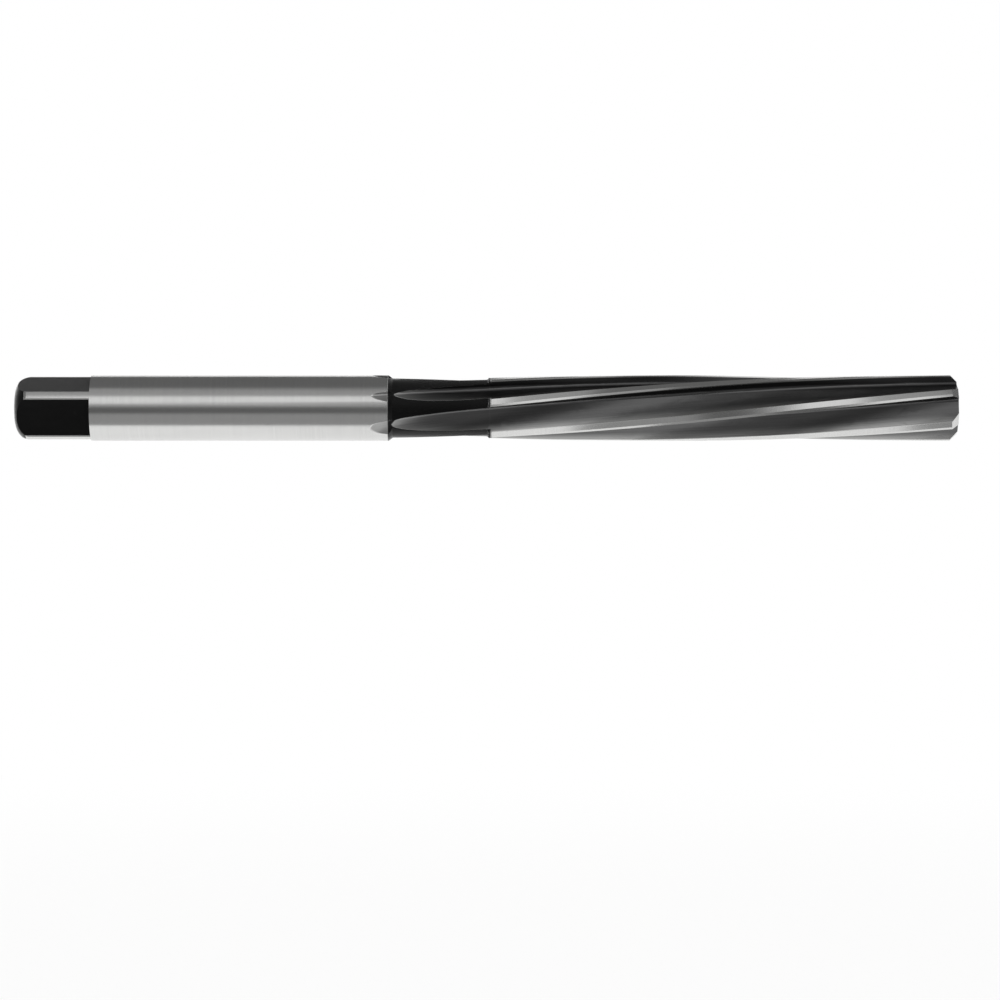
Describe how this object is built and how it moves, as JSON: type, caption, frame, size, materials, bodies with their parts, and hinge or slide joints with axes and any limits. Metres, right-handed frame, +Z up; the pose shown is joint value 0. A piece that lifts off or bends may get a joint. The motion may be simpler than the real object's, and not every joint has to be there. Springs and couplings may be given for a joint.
{
  "type": "machine reamer",
  "caption": "Straight-shank reamer with left-hand spiral flutes, a relieved neck and a driving square, which finishes round holes in metal to size.",
  "frame": {"origin": "on the tool's axis, at the end face of the driving square", "axes": "+X along the axis from the driving square to the cutting point, +Z up, the front side towards -Y"},
  "size_m": [0.115, 0.008, 0.008],
  "materials": {
    "ground_steel": "hardened and ground tool steel, blackened on the square and neck"
  },
  "bodies": {
    "root": {"reamer": "ground_steel"}
  },
  "joints": []
}
